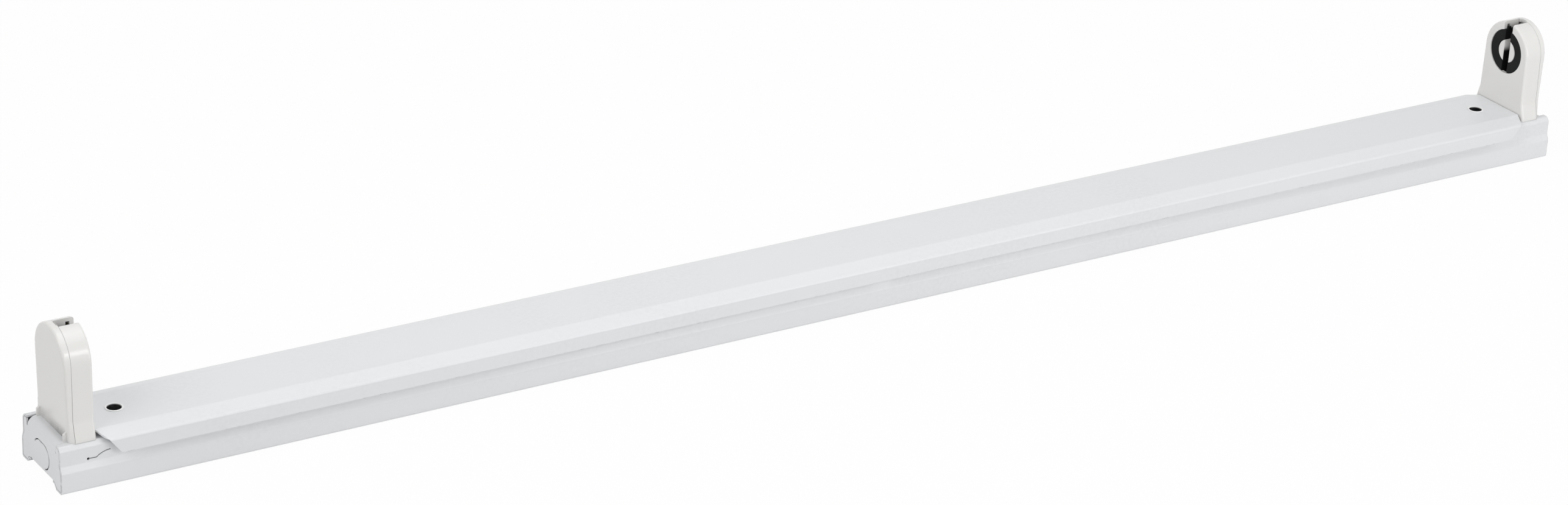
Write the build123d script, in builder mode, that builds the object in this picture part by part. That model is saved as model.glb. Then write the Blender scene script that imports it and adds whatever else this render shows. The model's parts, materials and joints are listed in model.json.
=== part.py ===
from build123d import *
import os

# Surface batten for one two-foot T8 LED tube: a folded steel tray and cover, a rotary
# lampholder at each end, and the mains terminal and wires inside.
# X runs along the tube, Y across it and Z away from the ceiling. The origin is the middle
# of the mounting face. Sizes are in millimetres.

os.makedirs("parts", exist_ok=True)

# Lamp: a T8 tube with a two-pin cap at each end
lamp_gap = 591.0
pin_length = 7.5
pin_slot = 3.0
axis_height = 40.4

# Sheet steel and general clearances
sheet = 0.6
bend_radius = 0.9
fit_gap = 0.1
running_gap = 0.05

# Tray
tray_margin = 13.0
tray_height = 16.0
upper_width = 29.2
slope_run = 1.2
slope_drop = 1.4
ledge_step = 1.0
ledge_low = 7.1
ledge_high = 9.4
rail_width = 4.4
rail_slope = 1.4
floor_rise = 1.6
flange_width = 3.2
seam_gap = 0.12
far_seam = 0.6
fold_radius = 1.4
fold_leg = 3.0
fold_width = 17.2
tab_bend = 3.0
tab_length = 15.0
knockout_width = 12.4
knockout_height = 9.0
knockout_centre = 7.6
knockout_cut = 0.4
knockout_hinge = 5.0
fixing_pitch = 510.0
fixing_hole = 5.0
lug_inset = 24.0
lug_length = 8.0
lug_low = 11.6
lug_high = 14.2
slit_inset = 9.6
slit_run = 2.8
slit_sweep = 4.8
slit_height = 10.4
slit_rise = 1.8
slit_cut = 0.35
slit_end = 0.45

# Cover
skirt_gap = 1.8
cover_height = 18.4
shoulder_width = 5.9
shoulder_drop = 1.8
skirt_height = 5.4
cover_gap = 0.3
corner_cut = 2.6
skirt_slant = 4.2
skirt_round = 1.8
cover_hole = 4.9
cover_hole_inset = 25.0

# Lampholder
holder_setback = 3.0
arch_radius = 11.8
waist_width = 24.4
flare_height = 6.6
flare_radius = 5.0
foot_width = 27.4
foot_edge = 0.9
back_depth = 2.7
back_floor = 1.4
back_foot = 22.6
back_waist = 23.4
back_lean = 1.2
parting_gap = 0.1
wall = 1.3
front_wall = 1.5
entry_width = 4.8
front_round = 0.9
back_round = 0.9
guide_gap = 0.15
gusset_place = 10.8
gusset_height = 2.4
gusset_rise = 0.9
gusset_width = 0.9
neck_length = 3.8
neck_margin = 3.8
leg_thickness = 1.4
leg_barb = 0.8
leg_drop = 1.8

# Rotor and the fixed boss that it turns about
rotor_radius = 8.6
rotor_clearance = 0.07
rotor_recess = 0.25
rotor_flange = 0.95
rotor_flange_depth = 1.1
rotor_round = 0.35
boss_radius = 4.5
boss_round = 0.4

# Contact springs
contact_gap = 0.3
contact_thickness = 0.4
contact_width = 3.4
contact_clearance = 0.25
contact_bow = 0.3
contact_flat = 1.5
contact_reach = 4.2
contact_foot_height = 21.6
contact_foot_reach = 1.4
contact_bend = 0.6

# Terminal block
pole_pitch = 7.5
pole_count = 3
block_length = 16.0
block_height = 11.0
block_round = 0.8
clamp_radius = 2.0
clamp_bore = 1.25
clamp_length = 12.0
clamp_height = 4.4
clamp_screw_pitch = 7.0
clamp_screw_radius = 1.0
clamp_screw_head = 1.4
clamp_screw_head_height = 1.2
screw_slot = 0.5
block_screw_radius = 1.3
block_screw_head = 2.0
block_screw_head_height = 1.4
block_screw_seat = 7.0

# Wires and their clips
wire_radius = 1.05
wire_bend = 4.0
wire_start = 4.5
wire_drop = 12.0
wire_turn = 22.0
wire_rise = 6.0
wire_inset = 2.0
gutter_gap = 1.4
clip_places = (70.0, 150.0, 230.0)
clip_width = 4.0
clip_length = 3.8
clip_window = 5.0

# Earth screw and lug
earth_x = 29.0
earth_radius = 1.95
earth_head = 3.6
earth_head_height = 2.4
earth_recess = 1.2
earth_round = 0.8
washer_radius = 4.2
washer_thickness = 0.7
washer_teeth = 12
washer_tooth = 0.5
lug_ring = 4.0
lug_sheet = 0.8
lug_reach = 9.0
barrel_length = 5.0
barrel_wall = 0.45

# Mains entry
entry_x = 76.0
entry_hole = 12.0
grommet_bore = 8.0
grommet_lip = 1.2
grommet_rim = 1.6
cord_clamp_x = 54.0
cord_clamp_length = 7.0
cord_clamp_sheet = 1.5
cord_clamp_rise = 5.6
cord_clamp_foot = 4.6
cord_clamp_round = 1.0
cord_screw_radius = 1.3
cord_screw_head = 2.2
cord_screw_head_height = 1.5
screw_tip = 0.4

# Sizes that follow from the ones above
tray_length = lamp_gap + 2 * tray_margin
lower_width = upper_width + 2 * ledge_step
floor_width = lower_width - 2 * (rail_width + rail_slope)
cover_width = upper_width + 2 * (skirt_gap + sheet)
end_x = -tray_length / 2
floor_top = floor_rise + sheet
tab_bottom = tray_height - sheet
flange_gap = upper_width - 2 * flange_width
neck_width = flange_gap - 2 * neck_margin
wire_entry = neck_width / 2 - wire_inset
contact_foot_end = wire_entry - contact_foot_reach
tab_near = flange_gap / 2 - seam_gap
tab_far = flange_gap / 2 - far_seam
cover_length = lamp_gap - 2 * cover_gap
shoulder_height = cover_height - shoulder_drop
skirt_bottom = shoulder_height - skirt_height
back_x = end_x + holder_setback
face_x = end_x + tray_margin
housing_x = back_x + back_depth + parting_gap
holder_top = axis_height + arch_radius
pocket_x = face_x - front_wall
floor_x = back_x + back_floor
web_x = floor_x + running_gap
slot_x = face_x - pin_length - fit_gap
rotor_face_x = face_x - rotor_recess
contact_x = housing_x + contact_gap
contact_place = rotor_radius + contact_clearance
neck_x = contact_x + contact_width / 2
rotor_bore = boss_radius + rotor_clearance
block_width = pole_count * pole_pitch
clamp_z = floor_top + clamp_height
wire_low = sheet + wire_radius + running_gap
gutter_y = lower_width / 2 - sheet - wire_radius - gutter_gap
clip_y = floor_width / 2 - sheet
pole_places = [(i - (pole_count - 1) / 2) * pole_pitch for i in range(pole_count)]


def save(part, label):
    """Name one piece and write it."""
    part.label = label
    export_step(part, f"parts/{label}.step")


def save_pair(part, label):
    """Write the left piece, and its mirror image for the right end."""
    save(part, f"left_{label}")
    save(mirror(part, about=Plane.YZ), f"right_{label}")


def holder_outline(side_points, fillet_radius):
    """Arched outline of a lampholder: two shaped sides under a half circle about the lamp axis."""
    with BuildSketch() as outline:
        with BuildLine():
            side = FilletPolyline(*side_points, radius=fillet_radius)
            mirror(side, about=Plane.YZ)
            ThreePointArc(
                (arch_radius, axis_height),
                (0, holder_top),
                (-arch_radius, axis_height),
            )
            Line(side_points[0], (-side_points[0][0], side_points[0][1]))
        make_face()
    return outline.sketch


def wire(points):
    """A round insulated wire along straight runs joined by bends."""
    with BuildPart() as made:
        with BuildLine() as route:
            FilletPolyline(*points, radius=wire_bend)
        with BuildSketch(Plane(origin=route.line @ 0, z_dir=route.line % 0)):
            Circle(wire_radius)
        sweep()
    return made.part


# The tray's outer skin, from the near flange's tip round to the far one
near_skin = [
    (-flange_gap / 2, tray_height),
    (slope_run - upper_width / 2, tray_height),
    (-upper_width / 2, tray_height - slope_drop),
    (-upper_width / 2, ledge_high),
    (-lower_width / 2, ledge_low),
    (-lower_width / 2, 0),
    (-lower_width / 2 + rail_width, 0),
    (-lower_width / 2 + rail_width + rail_slope, floor_rise),
]
tray_skin = near_skin + [(-y, z) for y, z in reversed(near_skin)]

with BuildSketch() as tray_inside:
    with BuildLine():
        FilletPolyline(*tray_skin[1:-1], radius=bend_radius, close=True)
    make_face()
    offset(amount=-sheet - seam_gap)

# End wall: cut to the tray's inside and folded up from the floor; its middle is folded over
# again as the tab that fills the gap between the flanges
wall_low = floor_rise + fold_radius
wall_high = tray_height - tab_bend
with BuildPart() as end_wall:
    with BuildSketch(Plane.YZ.offset(end_x)):
        add(tray_inside.sketch)
        with Locations((0, wall_high)):
            Rectangle(flange_gap, tray_height, align=(Align.CENTER, Align.MIN), mode=Mode.SUBTRACT)
        with Locations((0, wall_low)):
            Rectangle(fold_width, tray_height, align=(Align.CENTER, Align.MAX), mode=Mode.SUBTRACT)
    extrude(amount=sheet)
    with BuildSketch(Plane.XZ):
        with BuildLine():
            FilletPolyline(
                (end_x + fold_leg, floor_rise),
                (end_x, floor_rise),
                (end_x, wall_high),
                radius=fold_radius,
            )
            offset(amount=sheet, side=Side.RIGHT)
        make_face()
    extrude(amount=fold_width / 2, both=True)
    with BuildSketch(Plane.XZ.offset(tab_near)):
        with BuildLine():
            FilletPolyline(
                (end_x, wall_low),
                (end_x, tray_height),
                (end_x + tab_length, tray_height),
                radius=tab_bend,
            )
            offset(amount=sheet, side=Side.RIGHT)
        make_face()
    extrude(amount=-tab_near - tab_far)
    # the knock-out is cut round its near side and left whole on the far side
    with BuildSketch(Plane.YZ.offset(end_x)):
        with Locations((0, knockout_centre)):
            SlotOverall(knockout_width, knockout_height)
            SlotOverall(
                knockout_width - 2 * knockout_cut,
                knockout_height - 2 * knockout_cut,
                mode=Mode.SUBTRACT,
            )
        with Locations((knockout_hinge, knockout_centre)):
            Rectangle(
                knockout_width,
                knockout_height,
                align=(Align.MIN, Align.CENTER),
                mode=Mode.SUBTRACT,
            )
        with Locations((-knockout_hinge / 2, knockout_centre)):
            Rectangle(
                knockout_width,
                knockout_height,
                align=(Align.MIN, Align.MAX),
                mode=Mode.SUBTRACT,
            )
    extrude(amount=sheet, mode=Mode.SUBTRACT)
    # opening for the holder's legs and wires
    with Locations((neck_x, 0, tray_height)):
        Box(
            neck_length + 2 * fit_gap,
            neck_width + 2 * leg_thickness + 4 * fit_gap,
            2 * sheet,
            mode=Mode.SUBTRACT,
        )

with BuildPart() as base_tray:
    with BuildSketch(Plane.YZ.offset(end_x)):
        with BuildLine():
            FilletPolyline(*tray_skin, radius=bend_radius)
            offset(amount=sheet, side=Side.LEFT)
        make_face()
    extrude(amount=tray_length)
    # the floor gives way to the lower bend of each end wall
    with Locations((end_x, 0, floor_rise), (-end_x, 0, floor_rise)):
        Box(2 * fold_leg, fold_width, 2 * sheet, mode=Mode.SUBTRACT)
    add(end_wall.part)
    add(mirror(end_wall.part, about=Plane.YZ))
    # snap lugs that the cover's skirts grip
    lug_reach_y = cover_width / 2 - sheet - running_gap
    for lug_x in (end_x + lug_inset, 0, -end_x - lug_inset):
        with BuildSketch(Plane.YZ.offset(lug_x - lug_length / 2)):
            with BuildLine():
                Polyline(
                    (sheet - upper_width / 2, lug_high),
                    (-upper_width / 2, lug_high),
                    (-lug_reach_y, (lug_low + lug_high) / 2),
                    (-lug_reach_y, lug_low),
                    (sheet - upper_width / 2, lug_low),
                    close=True,
                )
            make_face()
            mirror(about=Plane.YZ)
        extrude(amount=lug_length)
    # the slit that frees the left lug runs along the wall, then sweeps up behind the skirt
    slit_x = end_x + slit_inset
    with BuildSketch(Plane.XZ):
        with BuildLine():
            Line((slit_x, slit_height), (slit_x + slit_run, slit_height))
            TangentArc(
                (slit_x + slit_run + slit_sweep, slit_height + slit_rise),
                (slit_x + slit_run, slit_height),
                tangent=(-1, 0),
            )
        trace(line_width=slit_cut)
        with Locations((slit_x, slit_height)):
            Circle(slit_end)
    extrude(amount=lower_width / 2, both=True, mode=Mode.SUBTRACT)
    # wire clips lanced up from the floor
    clip_top = wire_low + wire_radius + fit_gap + sheet
    clip_outline = [
        (clip_y, floor_rise),
        (clip_y, clip_top),
        (clip_y + clip_length, clip_top),
        (clip_y + clip_length, clip_top - sheet),
        (clip_y + sheet, clip_top - sheet),
        (clip_y + sheet, floor_rise),
    ]
    for side, place in [(side, place) for side in (-1, 1) for place in clip_places]:
        with BuildSketch(Plane.YZ.offset(side * place - clip_width / 2)):
            with BuildLine():
                Polyline(*[(side * y, z) for y, z in clip_outline], close=True)
            make_face()
        extrude(amount=clip_width)
        with Locations((side * place, side * (clip_y - clip_window / 2), floor_rise)):
            Box(clip_width, clip_window, 2 * sheet, mode=Mode.SUBTRACT)
    # fixing holes, cable entry, and the threads of the screws that stand in the floor
    with Locations((-fixing_pitch / 2, 0, floor_top), (fixing_pitch / 2, 0, floor_top)):
        Hole(fixing_hole / 2, depth=2 * sheet)
    with Locations((entry_x, 0, floor_top)):
        Hole(entry_hole / 2, depth=2 * sheet)
    with Locations((earth_x, 0, floor_top)):
        Hole(earth_radius + running_gap, depth=2 * sheet)
    with Locations((0, -pole_pitch / 2, floor_top), (0, pole_pitch / 2, floor_top)):
        Hole(block_screw_radius + running_gap, depth=2 * sheet)
    cord_screw_y = (floor_width - cord_clamp_foot) / 2
    with Locations((cord_clamp_x, -cord_screw_y, floor_top), (cord_clamp_x, cord_screw_y, floor_top)):
        Hole(cord_screw_radius + running_gap, depth=2 * sheet)
save(base_tray.part, "base_tray")

# Cover: a folded sheet whose ends stop at the holders and fall back at the skirts
near_cover = [
    (-cover_width / 2, skirt_bottom),
    (-cover_width / 2, shoulder_height),
    (-cover_width / 2 + shoulder_width, cover_height),
]
cover_skin = near_cover + [(-y, z) for y, z in reversed(near_cover)]
cover_end = cover_length / 2
skirt_end = cover_end - corner_cut
with BuildPart() as cover:
    with BuildSketch(Plane.YZ.offset(-cover_end)):
        with BuildLine():
            FilletPolyline(*cover_skin, radius=bend_radius)
            offset(amount=sheet, side=Side.RIGHT)
        make_face()
    extrude(amount=cover_length)
    for end in (-1, 1):
        # the shoulders are cut off at a slant in plan
        with BuildSketch():
            with BuildLine():
                Polyline(
                    (end * cover_end, cover_width / 2 - shoulder_width),
                    (end * skirt_end, cover_width / 2),
                    (end * skirt_end, cover_width),
                    (end * (cover_end + corner_cut), cover_width),
                    (end * (cover_end + corner_cut), cover_width / 2 - shoulder_width),
                    close=True,
                )
            make_face()
            mirror(about=Plane.XZ)
        extrude(amount=2 * cover_height, mode=Mode.SUBTRACT)
        # the skirts fall back towards a rounded lower corner
        with BuildSketch(Plane.XZ):
            with BuildLine():
                slant = FilletPolyline(
                    (end * skirt_end, shoulder_height),
                    (end * (skirt_end - skirt_slant), skirt_bottom),
                    (end * (skirt_end - 3 * skirt_slant), skirt_bottom),
                    radius=skirt_round,
                )
                Polyline(
                    slant @ 1,
                    (end * (skirt_end - 3 * skirt_slant), 0),
                    (end * (cover_end + corner_cut), 0),
                    (end * (cover_end + corner_cut), shoulder_height),
                    slant @ 0,
                )
            make_face()
        extrude(amount=cover_width, both=True, mode=Mode.SUBTRACT)
    hole_x = tray_length / 2 - cover_hole_inset
    with Locations((-hole_x, 0, cover_height), (hole_x, 0, cover_height)):
        Hole(cover_hole / 2, depth=2 * sheet)
save(cover.part, "cover")

# Housing of the left holder: an arched shell, open at its back, that stands on the flanges
housing_outline = holder_outline(
    [
        (foot_width / 2, tray_height),
        (foot_width / 2, tray_height + foot_edge),
        (waist_width / 2, tray_height + flare_height),
        (arch_radius, axis_height),
    ],
    [front_round, flare_radius],
)
with BuildSketch() as housing_pocket:
    add(housing_outline)
    offset(amount=-wall)
with BuildPart() as housing:
    with BuildSketch(Plane.YZ.offset(housing_x)):
        add(housing_outline)
    extrude(amount=face_x - housing_x)
    front_edges = edges().group_by(Axis.X)[-1].filter_by_position(Axis.Z, tray_height + 1, cover_width * 2)
    fillet(front_edges, radius=front_round)
    with BuildSketch(Plane.YZ.offset(housing_x)):
        add(housing_pocket.sketch)
    extrude(amount=pocket_x - housing_x, mode=Mode.SUBTRACT)
    # guides from the arch down to the rotor, one on each side of the pins' way in
    with BuildSketch(Plane.YZ.offset(housing_x)):
        with Locations((0, axis_height)):
            Rectangle(
                entry_width + 2 * wall,
                arch_radius - wall / 2,
                align=(Align.CENTER, Align.MIN),
            )
            Circle(rotor_radius + guide_gap, mode=Mode.SUBTRACT)
    extrude(amount=pocket_x - rotor_flange_depth - 2 * fit_gap - housing_x)
    # the rotor's opening and the pins' way in from above
    with BuildSketch(Plane.YZ.offset(pocket_x)):
        with Locations((0, axis_height)):
            Circle(rotor_radius + rotor_clearance)
    extrude(amount=front_wall, mode=Mode.SUBTRACT)
    with BuildSketch(Plane.YZ.offset(housing_x)):
        with Locations((0, axis_height)):
            Rectangle(entry_width, 2 * arch_radius, align=(Align.CENTER, Align.MIN))
    extrude(amount=face_x - housing_x, mode=Mode.SUBTRACT)
    # the legs that snap under the tab
    with BuildSketch(Plane.YZ.offset(neck_x - neck_length / 2)):
        with BuildLine():
            Polyline(
                (neck_width / 2, tray_height),
                (neck_width / 2 + leg_thickness, tray_height),
                (neck_width / 2 + leg_thickness, tab_bottom - running_gap),
                (neck_width / 2 + leg_thickness + leg_barb, tab_bottom - running_gap),
                (neck_width / 2 + leg_thickness, tab_bottom - leg_drop),
                (neck_width / 2, tab_bottom - leg_drop),
                close=True,
            )
        make_face()
        mirror(about=Plane.YZ)
    extrude(amount=neck_length)
    with Locations((neck_x, 0, tray_height)):
        Box(neck_length, neck_width, 2 * wall, mode=Mode.SUBTRACT)
    # shelves that carry the feet of the contact springs
    shelf_top = contact_foot_height - contact_thickness
    shelf_y = contact_place + contact_bow + contact_thickness
    for side in (-1, 1):
        with Locations((housing_x, side * (shelf_y - wall / 2), tray_height + wall / 2)):
            Box(
                pocket_x - housing_x,
                2 * wall,
                shelf_top - tray_height - wall / 2,
                align=(Align.MIN, Align.CENTER, Align.MIN),
            )
save_pair(housing.part, "housing")

# Back cover of the left holder: a plate that leans a little, its rim spread to the housing's
# outline, and the boss that the rotor turns about
back_outline = holder_outline(
    [
        (back_foot / 2, tray_height),
        (back_foot / 2, tray_height + foot_edge),
        (back_waist / 2, tray_height + flare_height),
        (arch_radius, axis_height),
    ],
    [front_round, flare_radius],
)
with BuildSketch() as back_pocket:
    add(back_outline)
    offset(amount=-wall)
    with Locations((0, axis_height - rotor_radius - wall)):
        Rectangle(
            2 * arch_radius,
            axis_height,
            align=(Align.CENTER, Align.MAX),
            mode=Mode.SUBTRACT,
        )
with BuildPart() as back_cover:
    with BuildSketch(Plane.YZ.offset(back_x)):
        add(back_outline)
    with BuildSketch(Plane.YZ.offset(back_x + back_depth)):
        add(housing_outline)
    loft(ruled=True)
    with BuildSketch(Plane.XZ):
        with BuildLine():
            Polyline(
                (back_x + back_lean, tray_height),
                (back_x, holder_top + wall),
                (back_x - back_lean, holder_top + wall),
                (back_x - back_lean, tray_height),
                close=True,
            )
        make_face()
    extrude(amount=arch_radius + back_foot, both=True, mode=Mode.SUBTRACT)
    leaning_face = faces().sort_by(lambda face: face.normal_at().X)[0]
    outer_edges = leaning_face.edges().filter_by_position(Axis.Z, tray_height + fit_gap, 2 * holder_top)
    fillet(outer_edges, radius=back_round)
    with BuildSketch(Plane.YZ.offset(floor_x)):
        add(back_pocket.sketch)
    extrude(amount=back_depth, mode=Mode.SUBTRACT)
    with BuildSketch(Plane.YZ.offset(floor_x)):
        with Locations((0, axis_height)):
            Circle(boss_radius)
    extrude(amount=rotor_face_x - floor_x)
    with BuildSketch(Plane.YZ.offset(slot_x)):
        with Locations((0, axis_height)):
            Rectangle(pin_slot, 2 * arch_radius)
    extrude(amount=face_x - slot_x, mode=Mode.SUBTRACT)
    boss_edges = edges().group_by(Axis.X)[-1]
    fillet(boss_edges, radius=boss_round)
    # small gussets at the corners of the plate's foot
    for side in (-1, 1):
        gusset_side = side * (gusset_place - gusset_width / 2) - gusset_width / 2
        with BuildSketch(Plane.XZ.offset(gusset_side)):
            with BuildLine():
                Polyline(
                    (back_x, tray_height),
                    (back_x, tray_height + gusset_height),
                    (back_x + back_lean, tray_height + gusset_height + gusset_rise),
                    (back_x + back_lean + wall / 2, tray_height + gusset_height + gusset_rise),
                    (back_x + back_lean + wall / 2, tray_height),
                    close=True,
                )
            make_face()
        extrude(amount=gusset_width)
save_pair(back_cover.part, "back_cover")

# Rotor of the left holder: a slotted ring with a flange behind the housing's front wall
with BuildPart() as rotor:
    with BuildSketch(Plane.YZ.offset(web_x)):
        with Locations((0, axis_height)):
            Circle(rotor_radius)
            Circle(rotor_bore, mode=Mode.SUBTRACT)
    extrude(amount=rotor_face_x - web_x)
    fillet(edges().group_by(Axis.X)[-1], radius=rotor_round)
    with BuildSketch(Plane.YZ.offset(pocket_x - fit_gap - rotor_flange_depth)):
        with Locations((0, axis_height)):
            Circle(rotor_radius + rotor_flange)
            Circle(rotor_bore, mode=Mode.SUBTRACT)
    extrude(amount=rotor_flange_depth)
    with BuildSketch(Plane.YZ.offset(slot_x)):
        with Locations((0, axis_height)):
            Rectangle(pin_slot, 4 * rotor_radius)
    extrude(amount=face_x - slot_x, mode=Mode.SUBTRACT)
save_pair(rotor.part, "rotor")

# Contact springs: bronze strips beside the rotor, each with a foot that meets its wire
with BuildPart() as contact:
    with BuildSketch(Plane.YZ.offset(contact_x)):
        with BuildLine():
            FilletPolyline(
                (contact_place + contact_bow, axis_height + contact_reach),
                (contact_place, axis_height + contact_flat),
                (contact_place, axis_height - contact_flat),
                (contact_place + contact_bow, axis_height - contact_reach),
                (contact_place + contact_bow, contact_foot_height),
                (contact_foot_end, contact_foot_height),
                radius=contact_bend,
            )
            offset(amount=contact_thickness, side=Side.LEFT)
        make_face()
    extrude(amount=contact_width)
save_pair(contact.part, "contact_rear")
save_pair(mirror(contact.part, about=Plane.XZ), "contact_front")

# Terminal block: one moulding with a bore and two screw wells for each pole
well_radius = clamp_screw_head + fit_gap
block_screws_y = (-pole_pitch / 2, pole_pitch / 2)
screw_places = [(side * clamp_screw_pitch / 2, y) for side in (-1, 1) for y in pole_places]
with BuildPart() as terminal_block:
    with Locations((0, 0, floor_top)):
        Box(
            block_length,
            block_width,
            block_height,
            align=(Align.CENTER, Align.CENTER, Align.MIN),
        )
    fillet(edges().filter_by(Axis.Z), radius=block_round)
    for y in pole_places:
        with Locations((0, y, clamp_z)):
            Cylinder(
                clamp_radius + running_gap,
                block_length,
                rotation=(0, 90, 0),
                mode=Mode.SUBTRACT,
            )
    block_top = floor_top + block_height
    for x, y in screw_places:
        with Locations((x, y, block_top)):
            Hole(well_radius, depth=block_top - clamp_z)
    for y in block_screws_y:
        with Locations((0, y, block_top)):
            CounterBoreHole(
                block_screw_radius + running_gap,
                block_screw_head + fit_gap,
                block_height - block_screw_seat,
                depth=block_height,
            )
save(terminal_block.part, "terminal_block")

with BuildPart() as terminal_clamps:
    for y in pole_places:
        with Locations((0, y, clamp_z)):
            Cylinder(clamp_radius, clamp_length, rotation=(0, 90, 0))
    for y in pole_places:
        with Locations((0, y, clamp_z)):
            Cylinder(clamp_bore, clamp_length, rotation=(0, 90, 0), mode=Mode.SUBTRACT)
    for x, y in screw_places:
        with Locations((x, y, clamp_z + clamp_radius)):
            Hole(clamp_screw_radius + running_gap, depth=clamp_radius)
save(terminal_clamps.part, "terminal_clamps")

with BuildPart() as terminal_screws:
    tip_z = clamp_z + wire_radius + running_gap
    head_z = clamp_z + clamp_radius + running_gap
    for x, y in screw_places:
        with Locations((x, y, tip_z)):
            Cylinder(
                clamp_screw_radius,
                head_z - tip_z,
                align=(Align.CENTER, Align.CENTER, Align.MIN),
            )
        with Locations((x, y, head_z)):
            Cylinder(
                clamp_screw_head,
                clamp_screw_head_height,
                align=(Align.CENTER, Align.CENTER, Align.MIN),
            )
        with Locations((x, y, head_z + clamp_screw_head_height)):
            Box(2 * clamp_screw_head, screw_slot, screw_slot, mode=Mode.SUBTRACT)
save(terminal_screws.part, "terminal_screws")

with BuildPart() as block_screws:
    seat_z = floor_top + block_screw_seat
    for y in block_screws_y:
        with Locations((0, y, screw_tip)):
            Cylinder(
                block_screw_radius,
                seat_z - screw_tip,
                align=(Align.CENTER, Align.CENTER, Align.MIN),
            )
        with Locations((0, y, seat_z)):
            Cylinder(
                block_screw_head,
                block_screw_head_height,
                align=(Align.CENTER, Align.CENTER, Align.MIN),
            )
        with Locations((0, y, seat_z + block_screw_head_height)):
            Box(2 * block_screw_head, screw_slot, block_screw_head_height, mode=Mode.SUBTRACT)
save(block_screws.part, "block_screws")

# Live wire to the left holder along the near gutter, neutral wire to the right along the far one
wire_end_z = contact_foot_height - contact_thickness - running_gap
live_points = [
    (-wire_start, pole_places[0], clamp_z),
    (-wire_start - wire_drop, pole_places[0], clamp_z),
    (-wire_start - 2 * wire_drop, -gutter_y, wire_low),
    (neck_x + wire_turn, -gutter_y, wire_low),
    (neck_x, -wire_entry, wire_low + wire_rise),
    (neck_x, -wire_entry, wire_end_z),
]
save(wire(live_points), "live_wire")
save(wire([(-x, -y, z) for x, y, z in live_points]), "neutral_wire")

# Earth: screw, toothed washer, crimped lug and its wire to the middle pole
lug_z = floor_top + washer_thickness
barrel_radius = wire_radius + running_gap + barrel_wall
barrel_x = earth_x - lug_reach
with BuildPart() as earth_washer:
    with BuildSketch(Plane.XY.offset(floor_top)):
        with Locations((earth_x, 0)):
            Circle(washer_radius)
            Circle(earth_radius + fit_gap, mode=Mode.SUBTRACT)
            with PolarLocations(washer_radius, washer_teeth):
                Circle(washer_tooth, mode=Mode.SUBTRACT)
    extrude(amount=washer_thickness)
save(earth_washer.part, "earth_washer")

with BuildPart() as earth_lug:
    with BuildSketch(Plane.XY.offset(lug_z)):
        with Locations((earth_x, 0)):
            Circle(lug_ring)
            Circle(earth_radius + fit_gap, mode=Mode.SUBTRACT)
        with Locations((barrel_x, 0)):
            Rectangle(
                lug_reach - lug_ring + lug_sheet,
                2 * barrel_radius,
                align=(Align.MIN, Align.CENTER),
            )
    extrude(amount=lug_sheet)
    with BuildSketch(Plane.YZ.offset(barrel_x)):
        with Locations((0, lug_z + barrel_radius)):
            Circle(barrel_radius)
    extrude(amount=-barrel_length)
    with BuildSketch(Plane.YZ.offset(barrel_x)):
        with Locations((0, lug_z + barrel_radius)):
            Circle(barrel_radius - barrel_wall)
    extrude(amount=-barrel_length, mode=Mode.SUBTRACT)
save(earth_lug.part, "earth_lug")

earth_points = [
    (wire_start, 0, clamp_z),
    (block_length / 2 + wire_radius, 0, clamp_z),
    (barrel_x - barrel_length, 0, lug_z + barrel_radius),
    (barrel_x - running_gap, 0, lug_z + barrel_radius),
]
save(wire(earth_points), "earth_wire")

with BuildPart() as earth_screw:
    head_z = lug_z + lug_sheet
    with Locations((earth_x, 0, screw_tip)):
        Cylinder(earth_radius, head_z - screw_tip, align=(Align.CENTER, Align.CENTER, Align.MIN))
    with Locations((earth_x, 0, head_z)):
        Cylinder(earth_head, earth_head_height, align=(Align.CENTER, Align.CENTER, Align.MIN))
    fillet(edges().group_by(Axis.Z)[-1], radius=earth_round)
    with Locations((earth_x, 0, head_z + earth_head_height)):
        Box(earth_head, screw_slot, 2 * earth_recess, mode=Mode.SUBTRACT)
        Box(screw_slot, earth_head, 2 * earth_recess, mode=Mode.SUBTRACT)
save(earth_screw.part, "earth_screw")

# Mains entry: a rubber grommet in the floor and a saddle that would hold the cable
with BuildPart() as cable_grommet:
    with BuildSketch(Plane.XZ):
        with BuildLine():
            Polyline(
                (entry_x + grommet_bore / 2, floor_rise - grommet_lip),
                (entry_x + entry_hole / 2 + grommet_rim, floor_rise - grommet_lip),
                (entry_x + entry_hole / 2 + grommet_rim, floor_rise),
                (entry_x + entry_hole / 2 - running_gap, floor_rise),
                (entry_x + entry_hole / 2 - running_gap, floor_top),
                (entry_x + entry_hole / 2 + grommet_rim, floor_top),
                (entry_x + entry_hole / 2 + grommet_rim, floor_top + grommet_lip),
                (entry_x + grommet_bore / 2, floor_top + grommet_lip),
                close=True,
            )
        make_face()
    revolve(axis=Axis((entry_x, 0, 0), (0, 0, 1)))
save(cable_grommet.part, "cable_grommet")

with BuildPart() as cord_clamp:
    foot_y = floor_width / 2
    arch_y = foot_y - cord_clamp_foot - cord_clamp_sheet
    with BuildSketch(Plane.YZ.offset(cord_clamp_x - cord_clamp_length / 2)):
        with BuildLine():
            FilletPolyline(
                (-foot_y, floor_top),
                (-arch_y, floor_top),
                (-arch_y, floor_top + cord_clamp_rise),
                (arch_y, floor_top + cord_clamp_rise),
                (arch_y, floor_top),
                (foot_y, floor_top),
                radius=cord_clamp_round,
            )
            offset(amount=cord_clamp_sheet, side=Side.LEFT)
        make_face()
    extrude(amount=cord_clamp_length)
    for side in (-1, 1):
        with Locations((cord_clamp_x, side * cord_screw_y, floor_top + cord_clamp_sheet)):
            Hole(cord_screw_radius + fit_gap, depth=cord_clamp_sheet)
save(cord_clamp.part, "cord_clamp")

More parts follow.
